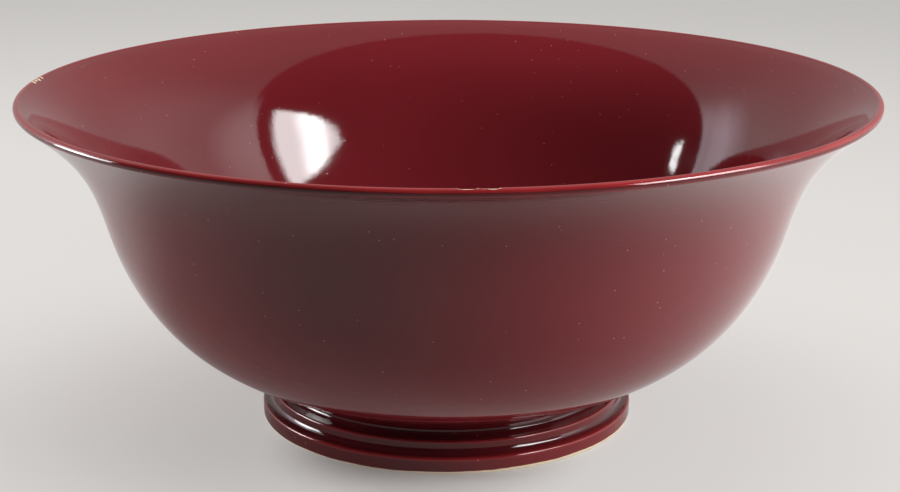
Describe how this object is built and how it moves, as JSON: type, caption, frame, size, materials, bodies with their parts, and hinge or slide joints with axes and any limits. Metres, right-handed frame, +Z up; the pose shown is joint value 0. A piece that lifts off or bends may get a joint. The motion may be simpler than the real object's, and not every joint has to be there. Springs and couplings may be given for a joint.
{
  "type": "salad serving bowl",
  "caption": "Wide round salad serving bowl in dark maroon glaze: rounded belly, lip flaring out to a thin rounded edge, and a low stepped foot ring.",
  "frame": {"origin": "on the table, under the middle of the foot ring", "axes": "+Z up along the axis that the bowl is turned round; the bowl is the same all round, so +X and +Y may lie any way"},
  "size_m": [0.28, 0.28, 0.111],
  "materials": {
    "maroon_glaze": "clear gloss glaze, dark maroon, thinning to a brighter red on edges",
    "bare_clay": "unglazed fired clay, cream"
  },
  "bodies": {
    "root": {"bowl_body": "maroon_glaze", "foot_ring": "maroon_glaze", "joint_slip": "bare_clay"}
  },
  "joints": []
}
